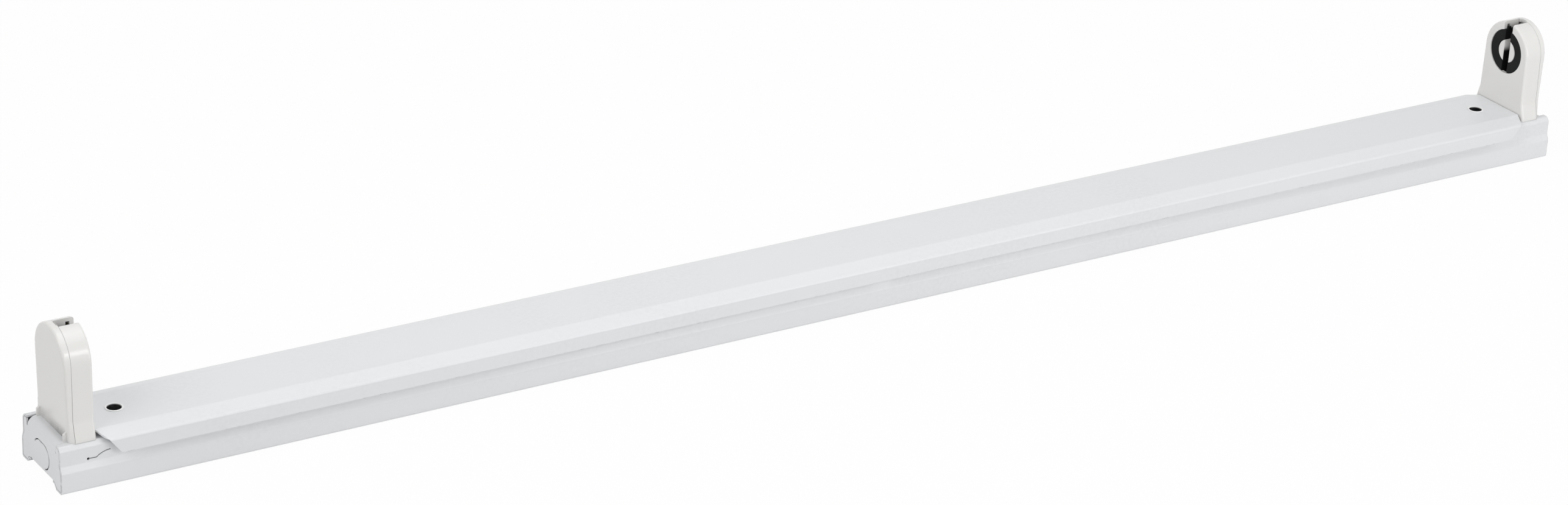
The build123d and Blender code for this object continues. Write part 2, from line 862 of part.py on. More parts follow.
with BuildPart() as clamp_screws:
    head_z = floor_top + cord_clamp_sheet
    for side in (-1, 1):
        with Locations((cord_clamp_x, side * cord_screw_y, screw_tip)):
            Cylinder(
                cord_screw_radius,
                head_z - screw_tip,
                align=(Align.CENTER, Align.CENTER, Align.MIN),
            )
        with Locations((cord_clamp_x, side * cord_screw_y, head_z)):
            Cylinder(
                cord_screw_head,
                cord_screw_head_height,
                align=(Align.CENTER, Align.CENTER, Align.MIN),
            )
        with Locations((cord_clamp_x, side * cord_screw_y, head_z + cord_screw_head_height)):
            Box(2 * cord_screw_head, screw_slot, cord_screw_head_height, mode=Mode.SUBTRACT)
save(clamp_screws.part, "clamp_screws")
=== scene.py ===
# %% [markdown]
# A batten for a straight lamp, in Blender. The measured solids come from the CAD model and stay
# exactly as they are: folded steel tray, snapped-on cover, and a moulded lampholder at each end.
# Blender gives them their finish, and models the small pieces whose charm is in soft edges,
# domed heads and threads. Everything is in metres. X runs along the lamp, Y across the tray and
# Z out of the ceiling.

# %% Load the solids
import json
import math

import bmesh
import bpy
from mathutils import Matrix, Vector


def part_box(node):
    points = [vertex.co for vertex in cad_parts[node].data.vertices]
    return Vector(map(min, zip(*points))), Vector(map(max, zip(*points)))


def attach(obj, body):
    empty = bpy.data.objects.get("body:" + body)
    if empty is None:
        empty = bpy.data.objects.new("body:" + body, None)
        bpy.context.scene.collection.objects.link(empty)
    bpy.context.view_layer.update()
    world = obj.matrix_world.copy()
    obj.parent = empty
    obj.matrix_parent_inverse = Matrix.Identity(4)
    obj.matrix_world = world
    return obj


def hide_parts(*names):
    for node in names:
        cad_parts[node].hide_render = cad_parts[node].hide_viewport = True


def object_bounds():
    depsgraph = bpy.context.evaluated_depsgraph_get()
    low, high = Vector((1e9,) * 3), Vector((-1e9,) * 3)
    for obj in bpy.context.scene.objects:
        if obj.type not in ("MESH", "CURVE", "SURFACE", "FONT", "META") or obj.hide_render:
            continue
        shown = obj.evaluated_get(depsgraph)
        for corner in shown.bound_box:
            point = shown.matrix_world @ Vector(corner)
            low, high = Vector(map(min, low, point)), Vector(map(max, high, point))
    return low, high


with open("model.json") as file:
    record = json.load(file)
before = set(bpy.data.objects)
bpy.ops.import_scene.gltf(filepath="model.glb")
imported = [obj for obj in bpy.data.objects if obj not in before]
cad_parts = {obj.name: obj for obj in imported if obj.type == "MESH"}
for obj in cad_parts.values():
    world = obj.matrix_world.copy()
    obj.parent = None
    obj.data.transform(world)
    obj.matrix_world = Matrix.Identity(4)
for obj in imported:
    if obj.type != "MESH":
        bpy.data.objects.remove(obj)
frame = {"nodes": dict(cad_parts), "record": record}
nodes = frame["nodes"]
cad_low, cad_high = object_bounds()
mm = 0.001
print("solids:", len(nodes), "size:", [round(v / mm, 1) for v in cad_high - cad_low])

# %% [markdown]
# The camera stands well back on the near left, so the long batten shows with little perspective.
# Such a view can be found by matching a few measured corners to their places in the picture. The
# result is a place, three turns and a long lens, and the frame needs no shift.

# %% Camera
camera_place = Vector((-0.76955, -1.11708, 0.62664))
camera_turn = (65.652, -2.683, -32.230)
camera_lens = 97.114

camera_data = bpy.data.cameras.new("camera")
camera_data.lens = camera_lens
camera_data.sensor_width = 36
camera_data.clip_end = 20
camera = bpy.data.objects.new("camera", camera_data)
camera.location = camera_place
camera.rotation_euler = [math.radians(a) for a in camera_turn]
bpy.context.scene.collection.objects.link(camera)
bpy.context.scene.camera = camera
print("camera to middle of batten:", round(camera_place.length, 3), "m")

# %% [markdown]
# Modelling by operators needs three small habits: start with nothing selected, pick faces or
# edges by where they are, and end with the piece's place inside its mesh. Each habit is one
# helper here, so that the cells below read like the steps a modeller would take by hand. Places
# are compared with a slack of a hundredth of a millimetre.

# %% Modelling helpers
slack = 0.01 * mm
straight = 0.99
sharp_turn = math.radians(30)
smooth_turn = math.radians(35)


def clean_start():
    """Leave edit mode and deselect everything."""
    if bpy.context.object and bpy.context.object.mode != "OBJECT":
        bpy.ops.object.mode_set(mode="OBJECT")
    bpy.ops.object.select_all(action="DESELECT")


def add_drum(name, radius, low, high, spot=(0, 0), sides=48):
    """Add an upright cylinder from height low to high, and enter edit mode."""
    clean_start()
    middle = (*spot, (low + high) / 2)
    bpy.ops.mesh.primitive_cylinder_add(
        vertices=sides, radius=radius, depth=high - low, location=middle)
    piece = bpy.context.object
    piece.name = name
    bpy.ops.object.transform_apply(location=True, rotation=False, scale=False)
    bpy.ops.object.mode_set(mode="EDIT")
    return piece


def pick(piece, kind, test):
    """In edit mode, select only the faces, edges or points that pass the test."""
    bpy.ops.mesh.select_mode(type=kind)
    bpy.ops.mesh.select_all(action="DESELECT")
    mesh = bmesh.from_edit_mesh(piece.data)
    for item in {"FACE": mesh.faces, "EDGE": mesh.edges, "VERT": mesh.verts}[kind]:
        corners = [item] if kind == "VERT" else list(item.verts)
        middle = sum((corner.co for corner in corners), Vector()) / len(corners)
        item.select_set(bool(test(item, middle)))
    mesh.select_flush_mode()
    bmesh.update_edit_mesh(piece.data)


def at_level(level):
    """A test for edges whose corners all lie at one height."""
    return lambda edge, middle: all(abs(corner.co.z - level) < slack for corner in edge.verts)


def bore(piece, width):
    """Open an upright hole: inset both flat ends, take out their middles, bridge the two loops."""
    levels = [corner.co.z for corner in bmesh.from_edit_mesh(piece.data).verts]
    ends = (min(levels), max(levels))
    pick(piece, "FACE", lambda face, middle: abs(face.normal.z) > straight and
         min(abs(middle.z - end) for end in ends) < slack)
    bpy.ops.mesh.inset(thickness=width)
    bpy.ops.mesh.delete(type="FACE")
    bpy.ops.mesh.select_mode(type="EDGE")
    bpy.ops.mesh.select_all(action="DESELECT")
    bpy.ops.mesh.select_non_manifold()
    bpy.ops.mesh.bridge_edge_loops()


def soften(piece, radius, segments=3):
    """Round the sharp edges with a Bevel modifier, apply it, and shade the piece smooth."""
    bpy.ops.object.mode_set(mode="OBJECT")
    bevel = piece.modifiers.new("round", "BEVEL")
    bevel.width = radius
    bevel.segments = segments
    bevel.limit_method = "ANGLE"
    bevel.angle_limit = sharp_turn
    bpy.ops.object.modifier_apply(modifier=bevel.name)
    bpy.ops.object.shade_smooth_by_angle(angle=smooth_turn)


def duplicate(piece, name, shift):
    """A copy with its own mesh, moved by shift."""
    clean_start()
    piece.select_set(True)
    bpy.context.view_layer.objects.active = piece
    bpy.ops.object.duplicate()
    twin = bpy.context.object
    twin.name = name
    bpy.ops.transform.translate(value=shift)
    bpy.ops.object.transform_apply(location=True, rotation=False, scale=False)
    return twin


def join(name, pieces):
    """Make one object of several."""
    clean_start()
    for piece in pieces:
        piece.select_set(True)
    bpy.context.view_layer.objects.active = pieces[0]
    bpy.ops.object.join()
    pieces[0].name = name
    return pieces[0]


print("helpers: clean_start, add_drum, pick, at_level, bore, soften, duplicate, join")

# %% [markdown]
# Beside each lampholder the cover has a punched hole. A punch pulls the sheet's edge down on one
# side and leaves a fine raised lip on the other, and that lip is what catches the light as a
# bright ring round the dark hole. It could be a line in the paint's bump, but a real lip also
# shows in profile. Here it is a low drum, bored by inset and bridge, with rounded edges.

# %% Lips of the cover's two holes
hole_radius = 2.45 * mm
lip_width = 0.6 * mm
lip_height = 0.3 * mm
lip_rounding = 0.14 * mm
hole_x = 283.5 * mm
cover_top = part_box("cover")[1].z
lip_top = cover_top + lip_height
lip_radius = hole_radius + lip_width

left_lip = add_drum("left_hole_lip", lip_radius, cover_top, lip_top, (-hole_x, 0), sides=64)
bore(left_lip, lip_width)
soften(left_lip, lip_rounding)
right_lip = duplicate(left_lip, "right_hole_lip", (2 * hole_x, 0, 0))
hole_lips = [left_lip, right_lip]
print("lip height:", round(lip_height / mm, 2), "mm, cover top:", round(cover_top / mm, 2), "mm")

# %% [markdown]
# The mains cable passes the floor through a rubber grommet: two soft lips with a groove between
# them that holds the edge of the sheet. The groove could be cut with a second solid, but it is
# quicker to slice the drum's side into three bands and pull the middle band in along its normals.

# %% Cable grommet
grommet_low, grommet_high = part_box("cable_grommet")
grommet_spot = ((grommet_low.x + grommet_high.x) / 2, 0)
grommet_radius = (grommet_high.x - grommet_low.x) / 2
bore_radius = 4.0 * mm
floor_hole = 5.95 * mm
floor_low, floor_high = 1.6 * mm, 2.2 * mm
rubber_rounding = 0.22 * mm

grommet = add_drum(
    "grommet", grommet_radius, grommet_low.z, grommet_high.z, grommet_spot, sides=64)
for level in (floor_low, floor_high):
    bpy.ops.mesh.select_all(action="SELECT")
    bpy.ops.mesh.bisect(plane_co=(0, 0, level), plane_no=(0, 0, 1))
pick(grommet, "FACE", lambda face, middle: floor_low < middle.z < floor_high)
groove = {"value": floor_hole - grommet_radius}
bpy.ops.mesh.extrude_region_shrink_fatten(TRANSFORM_OT_shrink_fatten=groove)
bore(grommet, grommet_radius - bore_radius)
soften(grommet, rubber_rounding)
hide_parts("cable_grommet")
print("grommet:", len(grommet.data.polygons), "faces, bore", round(2 * bore_radius / mm, 1), "mm")

# %% [markdown]
# Each lampholder is two mouldings, a shell and a back, that meet in a parting line. Low down the
# line is an open, dark hair. Higher up, a thin tongue of the back fills it, and only a faint
# crease is left. The tongue is an arch: half a circle, with its two ends drawn straight down, then
# drawn out to the width of the gap and given its thickness by a Solidify modifier.

# %% Tongues in the parting lines
lamp_axis = 40.4 * mm
arch_radius = 11.8 * mm
back_edge = -302.8 * mm
shell_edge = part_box("left_housing")[0].x
tongue_foot = 33 * mm
tongue_depth = 0.6 * mm
tongue_play = 0.05 * mm
tongue_radius = arch_radius - tongue_play
gap = shell_edge - back_edge

clean_start()
stand_up = (0, math.pi / 2, 0)
arch_middle = (back_edge, 0, lamp_axis)
bpy.ops.mesh.primitive_circle_add(
    vertices=128, radius=tongue_radius, location=arch_middle, rotation=stand_up)
left_tongue = bpy.context.object
left_tongue.name = "left_tongue"
bpy.ops.object.transform_apply(location=True, rotation=True, scale=False)
bpy.ops.object.mode_set(mode="EDIT")
pick(left_tongue, "EDGE", lambda edge, middle: middle.z < lamp_axis)
bpy.ops.mesh.delete(type="EDGE")
pick(left_tongue, "VERT", lambda corner, middle: corner.co.z < lamp_axis + slack)
drop = {"value": (0, 0, tongue_foot - lamp_axis)}
bpy.ops.mesh.extrude_region_move(TRANSFORM_OT_translate=drop)
bpy.ops.mesh.select_mode(type="EDGE")
bpy.ops.mesh.select_all(action="SELECT")
draw_out = {"value": (gap, 0, 0)}
bpy.ops.mesh.extrude_region_move(TRANSFORM_OT_translate=draw_out)
bpy.ops.mesh.select_all(action="SELECT")
bpy.ops.mesh.normals_make_consistent(inside=False)
bpy.ops.object.mode_set(mode="OBJECT")
solid = left_tongue.modifiers.new("thickness", "SOLIDIFY")
solid.thickness = tongue_depth
solid.offset = -1
bpy.ops.object.modifier_apply(modifier=solid.name)
bpy.ops.object.shade_smooth_by_angle(angle=smooth_turn)
right_tongue = duplicate(left_tongue, "right_tongue", (-shell_edge - back_edge, 0, 0))
tongues = [left_tongue, right_tongue]
print("gap:", round(gap / mm, 2), "mm, faces:", len(left_tongue.data.polygons))

# %% [markdown]
# Four kinds of screw hold the inside together: the earth screw, two that fix the terminal block,
# two on the cord clamp and one small one over each wire. They differ in size, not in kind, so the
# same three steps make them all. The head comes first: a drum whose rim is bevelled into a dome.
# Its slot could be cut with a box, but slicing the flat top and pushing the strip between the
# cuts down keeps the head one closed skin.


# %% Screw head
def on_flat(top, spot, reach):
    """A test for faces of the head's flat top that lie within reach of its middle."""
    def test(face, middle):
        low = min(corner.co.z for corner in face.verts)
        far = max(math.dist(corner.co.xy, spot) for corner in face.verts)
        return face.normal.z > straight and low > top - slack and far < reach
    return test


def make_head(name, spot, seat, top, radius, cross):
    """A domed head with a slot, or with a cross recess."""
    x, y = spot
    half_slot = 0.28 * mm
    slot_rounding = 0.05 * mm
    slot_depth = 0.5 * (top - seat)
    dome = 0.42 * (top - seat)
    flat_radius = radius - dome
    piece = add_drum(name, radius, seat, top, spot, sides=32)
    pick(piece, "EDGE", at_level(top))
    bpy.ops.mesh.bevel(offset=dome, segments=5, affect="EDGES")
    pick(piece, "FACE", on_flat(top, spot, radius))
    bpy.ops.mesh.inset(thickness=0.15 * flat_radius)
    flat = on_flat(top, spot, 0.87 * flat_radius)
    cuts = [((x, y + half_slot, 0), (0, 1, 0)), ((x, y - half_slot, 0), (0, 1, 0))]
    if cross:
        cuts += [((x + half_slot, y, 0), (1, 0, 0)), ((x - half_slot, y, 0), (1, 0, 0))]
    for place, normal in cuts:
        pick(piece, "FACE", flat)
        bpy.ops.mesh.bisect(plane_co=place, plane_no=normal)
    pick(piece, "FACE", lambda face, middle: flat(face, middle) and (
        abs(middle.y - y) < half_slot or (cross and abs(middle.x - x) < half_slot)))
    push_in = {"value": (0, 0, -slot_depth)}
    bpy.ops.mesh.extrude_region_move(TRANSFORM_OT_translate=push_in)
    soften(piece, slot_rounding, segments=2)
    return piece


print("a head is a drum: bevelled, inset, sliced and pushed in")

# %% [markdown]
# A thread could be a texture, but these threads are bright metal and show in profile. A small
# diamond is stood upright beside the shank, and a Screw modifier carries it round and up by one
# pitch a turn. The core is a plain drum with a bevelled point, hidden under the thread.


# %% Shank and thread
def make_shank(name, spot, tip, seat, radius, pitch):
    """A core with a bevelled point, and the thread wound round it."""
    core_radius = 0.84 * radius
    thread_height = 0.16 * radius
    point = 0.35 * radius
    turns = max(1, int((seat - tip - 0.8 * radius) / pitch))
    core = add_drum(name, core_radius, tip, seat, spot, sides=24)
    pick(core, "EDGE", at_level(tip))
    bpy.ops.mesh.bevel(offset=point, segments=2, affect="EDGES")
    clean_start()
    start = Vector((*spot, tip + 0.5 * radius))
    bpy.ops.mesh.primitive_circle_add(vertices=4, radius=thread_height, location=start)
    thread = bpy.context.object
    bpy.ops.object.mode_set(mode="EDIT")
    bpy.ops.mesh.select_all(action="SELECT")
    bpy.ops.transform.rotate(value=math.pi / 2, orient_axis="X", center_override=start)
    bpy.ops.transform.translate(value=(core_radius, 0, 0))
    bpy.ops.object.mode_set(mode="OBJECT")
    spiral = thread.modifiers.new("thread", "SCREW")
    spiral.axis = "Z"
    spiral.screw_offset = pitch
    spiral.iterations = turns
    spiral.steps = spiral.render_steps = 20
    bpy.ops.object.modifier_apply(modifier=spiral.name)
    bpy.ops.object.transform_apply(location=True, rotation=False, scale=False)
    bpy.ops.object.mode_set(mode="EDIT")
    bpy.ops.mesh.select_all(action="SELECT")
    bpy.ops.mesh.fill_holes(sides=8)
    bpy.ops.mesh.select_all(action="SELECT")
    bpy.ops.mesh.normals_make_consistent(inside=False)
    bpy.ops.object.mode_set(mode="OBJECT")
    return [core, thread]


def make_screw(name, spot, heights, shank, head, cross=False, pitch=0.7 * mm):
    """A whole screw at spot; heights are its tip, the seat of its head, and its top."""
    tip, seat, top = heights
    pieces = [make_head(name, spot, seat, top, head, cross)]
    pieces += make_shank(name, spot, tip, seat, shank, pitch)
    screw = join(name, pieces)
    bpy.ops.object.shade_smooth_by_angle(angle=smooth_turn)
    return screw


print("a thread is a diamond, carried round by a Screw modifier")

# %% [markdown]
# Each kind of screw is made once, and its copies get a mesh of their own. All the screws of one
# kind are joined, because they stand for one node of the model.

# %% The screws in their places
earth_low, earth_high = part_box("earth_screw")
earth_spot = ((earth_low.x + earth_high.x) / 2, 0)
earth_heights = (earth_low.z, 3.7 * mm, earth_high.z)
earth_screw = make_screw(
    "earth_fixing", earth_spot, earth_heights, shank=1.95 * mm, head=3.6 * mm, cross=True)
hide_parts("earth_screw")

pole_pitch = 7.5 * mm
block_spot = (0, -pole_pitch / 2)
block_heights = (0.4 * mm, 9.2 * mm, 10.6 * mm)
first = make_screw("block_fixings", block_spot, block_heights, shank=1.3 * mm, head=2.0 * mm)
block_screws = join("block_fixings", [first, duplicate(first, "second", (0, pole_pitch, 0))])
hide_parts("block_screws")

clamp_low, clamp_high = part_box("clamp_screws")
clamp_x = (clamp_low.x + clamp_high.x) / 2
clamp_head = 2.2 * mm
clamp_y = clamp_high.y - clamp_head
clamp_spot = (clamp_x, -clamp_y)
clamp_heights = (0.4 * mm, 3.7 * mm, 5.2 * mm)
first = make_screw("cord_fixings", clamp_spot, clamp_heights, shank=1.3 * mm, head=clamp_head)
clamp_screws = join("cord_fixings", [first, duplicate(first, "second", (0, 2 * clamp_y, 0))])
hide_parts("clamp_screws")

grip_pitch = 7.0 * mm
grip_heights = (7.7 * mm, 8.65 * mm, 9.85 * mm)
grip_spot = (-grip_pitch / 2, -pole_pitch)
first = make_screw(
    "wire_grips", grip_spot, grip_heights, shank=1.0 * mm, head=1.4 * mm, pitch=0.5 * mm)
shifts = [(i * grip_pitch, j * pole_pitch, 0) for i in (0, 1) for j in (0, 1, 2)]
grips = [duplicate(first, "grip", shift) for shift in shifts if any(shift)]
wire_screws = join("wire_grips", [first] + grips)
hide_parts("terminal_screws")
screws = [earth_screw, block_screws, clamp_screws, wire_screws]
print("screw faces:", {screw.name: len(screw.data.polygons) for screw in screws})

# %% [markdown]
# Shader maths reads best as plain expressions. One small class wraps a socket: adding or
# multiplying two wrapped sockets adds the Math node that does it. A recipe object holds a
# material's node tree and adds any other node from its type, its settings and its inputs.


# %% Shader helpers
class Value:
    """A socket whose arithmetic adds Math nodes."""

    def __init__(self, recipe, socket):
        self.recipe = recipe
        self.socket = socket

    def maths(self, operation, *terms):
        """One Math node over the given terms."""
        return self.recipe.add("ShaderNodeMath", {"operation": operation}, terms)

    def __add__(self, other):
        return self.maths("ADD", self, other)

    def __radd__(self, other):
        return self.maths("ADD", other, self)

    def __sub__(self, other):
        return self.maths("SUBTRACT", self, other)

    def __rsub__(self, other):
        return self.maths("SUBTRACT", other, self)

    def __mul__(self, other):
        return self.maths("MULTIPLY", self, other)

    def __rmul__(self, other):
        return self.maths("MULTIPLY", other, self)

    def __abs__(self):
        return self.maths("ABSOLUTE", self)


class Recipe:
    """A material and its node tree."""

    def __init__(self, name, **constants):
        self.material = bpy.data.materials.new(name)
        self.material.use_nodes = True
        self.tree = self.material.node_tree
        self.shader = self.tree.nodes["Principled BSDF"]
        self.output = self.tree.nodes["Material Output"]
        for socket, value in constants.items():
            self.shader.inputs[socket.replace("_", " ")].default_value = value

    def add(self, kind, settings=None, inputs=(), out=0):
        """Add one node, with its settings first, then the values or links of its inputs."""
        node = self.tree.nodes.new(kind)
        for name, value in (settings or {}).items():
            setattr(node, name, value)
        pairs = inputs.items() if isinstance(inputs, dict) else enumerate(inputs)
        for key, value in pairs:
            self.feed(node.inputs[key], value)
        return Value(self, node.outputs[out])

    def feed(self, socket, value):
        """Link a wrapped socket, or set a plain value."""
        if isinstance(value, Value):
            self.tree.links.new(value.socket, socket)
        else:
            socket.default_value = value

    def set(self, socket, value):
        """Feed one of the shader's own sockets, by name."""
        self.feed(self.shader.inputs[socket], value)

    def place(self):
        """The point on the piece, in the batten's own metres."""
        return self.add("ShaderNodeTexCoord", out="Object")

    def along(self, axis):
        """One coordinate of that point, X, Y or Z."""
        return self.add("ShaderNodeSeparateXYZ", {}, [self.place()], out=axis)

    def noise(self, scale, detail=2.0, stretch=(1, 1, 1)):
        """Soft random values from 0 to 1; scale is in waves for each metre."""
        spot = self.add("ShaderNodeMapping", {}, {"Vector": self.place(), "Scale": stretch})
        waves = {"Vector": spot, "Scale": scale, "Detail": detail}
        return self.add("ShaderNodeTexNoise", {}, waves)

    def span(self, value, start, stop, low=0.0, high=1.0):
        """Spread a value's range from start to stop over low to high, softly at both ends."""
        ends = {"From Min": start, "From Max": stop, "To Min": low, "To Max": high}
        soft = {"interpolation_type": "SMOOTHSTEP"}
        return self.add("ShaderNodeMapRange", soft, {"Value": value, **ends})

    def blend(self, factor, first, second):
        """Mix two colours."""
        colours = {"Factor": factor, 6: first, 7: second}
        return self.add("ShaderNodeMix", {"data_type": "RGBA"}, colours, out=2)

    def rounded(self, radius):
        """The surface's direction, as if its edges were rounded by radius."""
        return self.add("ShaderNodeBevel", {"samples": 6}, {"Radius": radius})

    def edges(self, radius):
        """1 where a sharp edge is nearer than radius, and 0 elsewhere."""
        both = [self.rounded(radius), self.add("ShaderNodeNewGeometry", out="Normal")]
        alike = self.add("ShaderNodeVectorMath", {"operation": "DOT_PRODUCT"}, both, out="Value")
        return self.span(1 - alike, 0.01, 0.08)

    def relief(self, height, depth, edge_radius=0.0):
        """Bump of the given depth in metres, over edges that look rounded by edge_radius."""
        inputs = {"Height": height, "Strength": 1.0, "Distance": depth}
        if edge_radius:
            inputs["Normal"] = self.rounded(edge_radius)
        self.set("Normal", self.add("ShaderNodeBump", {}, inputs))


print("a recipe adds nodes, and a value adds, multiplies and subtracts")

# %% [markdown]
# The tray and cover are folded from steel that was coated white before folding. The coat is
# smooth but not a mirror: it has a faint orange-peel ripple, slow changes of gloss where the
# sheet isn't quite flat, and a little dust. Folded corners are worn dark here and there, and at
# the two ends they are darkened more, which is painted shade along the cut edges. The walls of
# the punched holes are painted near black, a painted shade that keeps the holes dark, and the
# raised lips are painted whiter than the rest of the coat, a painted highlight.
#
# A Bevel node finds every edge: where the normal that it rounds differs from the surface's own,
# an edge is near. It also gives the edges their soft line of light, all at once and evenly, where
# a painted map would need every edge drawn.

# %% Painted steel
steel_paint = (0.79, 0.80, 0.815, 1)
steel_dust = (0.745, 0.75, 0.76, 1)
# Dark grey for worn corners; at the two ends it is also painted shade along the cut edges.
worn_and_shaded_edge = (0.2, 0.2, 0.205, 1)
# Painted shade: near black on the hole walls, so the holes read dark.
hole_shade_black = (0.035, 0.035, 0.037, 1)
# Painted highlight: the hole lips are whiter than the rest of the coat.
lip_highlight_white = (0.93, 0.93, 0.93, 1)
tray_end = cad_high.x
paint_film = (0.02 * mm, 0.06 * mm)
steel_corner = 0.25 * mm
# Extra darkening of the corners at the two ends, which is painted shade.
end_edge_shade = 0.14


def paint_steel():
    """White paint on steel, with worn corners, painted shade at the ends and on the hole walls,
    and a painted highlight on the lips.
    """
    paint = Recipe("coated_steel", Coat_Roughness=0.2, IOR=1.5)
    dust = paint.span(paint.noise(28, 4), 0.35, 0.7)
    specks = paint.span(paint.noise(700, 2), 0.35, 0.7, 0.0, 0.5)
    coat = paint.blend(dust * specks, steel_paint, steel_dust)
    along, across, level_up = abs(paint.along("X")), paint.along("Y"), paint.along("Z")
    # Painted shade: the worn corners are darkened more near the two ends.
    at_end = paint.span(along, tray_end - 1.5 * mm, tray_end - 0.5 * mm)
    wear_and_end_shade = paint.span(paint.noise(330, 3) + at_end * end_edge_shade, 0.56, 0.68, 0.0, 0.75)
    worn_and_end_shaded = paint.edges(steel_corner) * wear_and_end_shade
    coat = paint.blend(worn_and_end_shaded, coat, worn_and_shaded_edge)
    # The hole walls get painted shade, near black.
    from_hole = (along - hole_x) * (along - hole_x) + across * across
    inner, outer = [(hole_radius + film) ** 2 for film in paint_film]
    rim = paint.span(from_hole, inner, outer, 1.0, 0.0)
    below_top = paint.span(level_up, cover_top - 0.1 * mm, cover_top - 0.02 * mm, 1.0, 0.0)
    above_floor = paint.span(level_up, cover_top - 2 * mm, cover_top - 1.9 * mm)
    hole_wall_shade = rim * below_top * above_floor
    # Painted highlight on the hole lips.
    raised = paint.span(level_up, *[cover_top + film for film in paint_film])
    coat = paint.blend(raised, coat, lip_highlight_white)
    paint.set("Base Color", paint.blend(hole_wall_shade, coat, hole_shade_black))
    waves = paint.noise(9, 2, (0.35, 1, 1))
    paint.set("Roughness", paint.span(waves, 0.3, 0.7, 0.36, 0.44) + worn_and_end_shaded * 0.2)
    paint.set("Coat Weight", paint.span(waves, 0.3, 0.7, 0.25, 0.12))
    paint.relief(paint.noise(900, 2), 0.01 * mm, steel_corner)
    return paint.material


coated_steel = paint_steel()
print("steel nodes:", len(coated_steel.node_tree.nodes))

# %% [markdown]
# The lampholders are moulded in a white heat-proof plastic. It is a little warmer than the paint
# beside it and shinier, and light goes a little way into it, which softens its edges. Two places
# carry painted shade. At the foot of each outer plate, between the two gussets, a grey band of
# painted shade lies, darkest on the near side. In the slot of the boss, the lower half of the
# walls is painted black, as painted shade deep in the slot. Both are placed by the point's own
# coordinates, so they stay on the part from every side. Each pair of lengths below is where a
# mark starts and stops fading.

# %% White plastic
holder_white = (0.82, 0.812, 0.795, 1)
holder_shade = (0.815, 0.807, 0.79, 1)
# Painted shade: the grey band at the foot of each outer plate.
foot_shade_grey = (0.30, 0.297, 0.29, 1)
# Painted shade: black on the lower half of the boss slot's walls.
slot_shade_black = (0.012, 0.012, 0.012, 1)
plate_face = (303.6 * mm, 304.1 * mm)
foot_height = (16.2 * mm, 20.8 * mm)
gusset_side = (9.4 * mm, 10.0 * mm)
near_to_far = (-9 * mm, 11 * mm)
slot_side = (1.52 * mm, 1.64 * mm)
slot_end = (303.2 * mm, 303.5 * mm)
slot_foot = (33 * mm, 34 * mm)
pin_level = (39.6 * mm, 42.2 * mm)


def mould_white():
    """The holders' white plastic, with painted shade at the foot and in the pin slot."""
    plastic = Recipe("holder_plastic", IOR=1.5, Subsurface_Weight=0.1, Subsurface_Scale=1.0 * mm)
    plastic.shader.inputs["Subsurface Radius"].default_value = (1.0, 0.9, 0.75)
    far, side, level = abs(plastic.along("X")), abs(plastic.along("Y")), plastic.along("Z")
    cloud = plastic.noise(35, 1)
    body = plastic.blend(cloud, holder_white, holder_shade)
    # The band at the foot of each outer plate is painted shade.
    outside = plastic.span(far, *plate_face)
    height = plastic.span(level, *foot_height, 1.0, 0.0)
    between_gussets = plastic.span(side, *gusset_side, 1.0, 0.0)
    near_end = plastic.span(plastic.along("Y"), *near_to_far, 1.0, 0.4)
    foot_shade_streaks = plastic.span(plastic.noise(420, 4), 0.25, 0.75, 0.65, 1.0)
    foot = outside * height * between_gussets * near_end * foot_shade_streaks
    with_foot_shade = plastic.blend(foot, body, foot_shade_grey)
    # The lower half of the slot walls is painted black, as painted shade.
    in_slot = plastic.span(side, *slot_side, 1.0, 0.0)
    in_holder = plastic.span(far, *slot_end, 1.0, 0.0)
    above_foot = plastic.span(level, *slot_foot)
    lower_half = plastic.span(level, *pin_level, 1.0, 0.0)
    slot_shade_mask = in_slot * in_holder * above_foot * lower_half
    plastic.set("Base Color", plastic.blend(slot_shade_mask, with_foot_shade, slot_shade_black))
    gloss = 0.19 + cloud * 0.03
    plastic.set("Roughness", gloss + foot * 0.25)
    plastic.relief(plastic.noise(2200, 2), 0.0005 * mm, 0.2 * mm)
    return plastic.material


holder_plastic = mould_white()
print("holder plastic nodes:", len(holder_plastic.node_tree.nodes))

# %% [markdown]
# The turning rings are a black technical plastic with a fine matt grain and a faint bloom. Black
# plastic looks black only when it mirrors little of a white studio, so its specular level is low.
# The terminal block, the rubber and the wire insulation are the same recipe in other colours.


# %% Plain plastics and rubber
def mould_plain(name, colour, shade, roughness, grain_depth=0.01 * mm, level=0.5):
    """A plain plastic or rubber, drifting from its colour to its shade."""
    plastic = Recipe(name, IOR=1.5, Specular_IOR_Level=level)
    cloud = plastic.span(plastic.noise(90, 3), 0.3, 0.7)
    plastic.set("Base Color", plastic.blend(cloud, colour, shade))
    glossy, matt = roughness - 0.06, roughness + 0.06
    plastic.set("Roughness", plastic.span(plastic.noise(260, 2), 0.3, 0.7, glossy, matt))
    plastic.relief(plastic.noise(2600, 2), grain_depth, 0.15 * mm)
    return plastic.material


